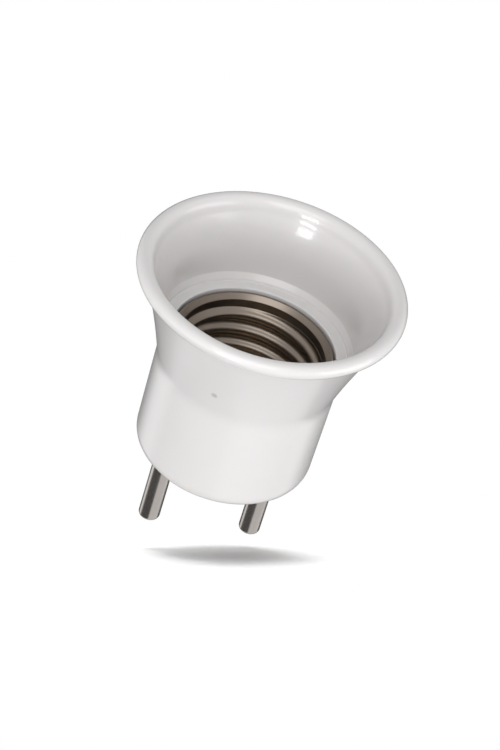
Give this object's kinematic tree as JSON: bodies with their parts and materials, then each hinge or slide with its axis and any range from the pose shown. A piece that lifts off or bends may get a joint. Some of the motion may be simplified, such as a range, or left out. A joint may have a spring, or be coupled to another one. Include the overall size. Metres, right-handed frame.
{
  "type": "plug in lamp holder",
  "caption": "Lamp holder that plugs straight into a two-pin mains socket and takes a screw-cap lamp in its bell-shaped mouth.",
  "frame": {"origin": "centre of the plug face, midway between the two pins", "axes": "+Z along the holder's axis towards the lamp's mouth, with the pins pointing to -Z; the two pins lie on the X axis, the line pin on +X"},
  "size_m": [0.0486, 0.0486, 0.06],
  "materials": {
    "white_plastic": "glossy moulded white",
    "nickel_shell": "nickel-plated rolled sheet, satin",
    "nickel_pin": "nickel-plated brass, polished",
    "ivory_insulator": "matte moulded insulator",
    "spring_bronze": "phosphor bronze strip",
    "contact_brass": "bright brass",
    "strap_brass": "stamped brass strip",
    "zinc_steel": "zinc-plated steel"
  },
  "bodies": {
    "holder": {"bell_housing": "white_plastic", "screw_shell": "nickel_shell", "contact_carrier": "ivory_insulator", "contact_spring": "spring_bronze", "contact_rivet": "contact_brass", "shell_rivet": "contact_brass", "line_pin": "nickel_pin", "neutral_pin": "nickel_pin", "line_strap": "strap_brass", "neutral_strap": "strap_brass", "line_pin_screw": "zinc_steel", "neutral_pin_screw": "zinc_steel", "line_lock_washer": "zinc_steel", "neutral_lock_washer": "zinc_steel", "left_carrier_screw": "zinc_steel", "right_carrier_screw": "zinc_steel"},
    "lamp_contact": {"contact_tip": "contact_brass"}
  },
  "joints": [
    {"name": "contact_press", "type": "slide", "parent": "holder", "child": "lamp_contact", "axis": [0, 0, -1], "range_m": [0, 0.0012], "stiffness_N_per_m": 3000, "deforming": ["contact_spring"]}
  ]
}
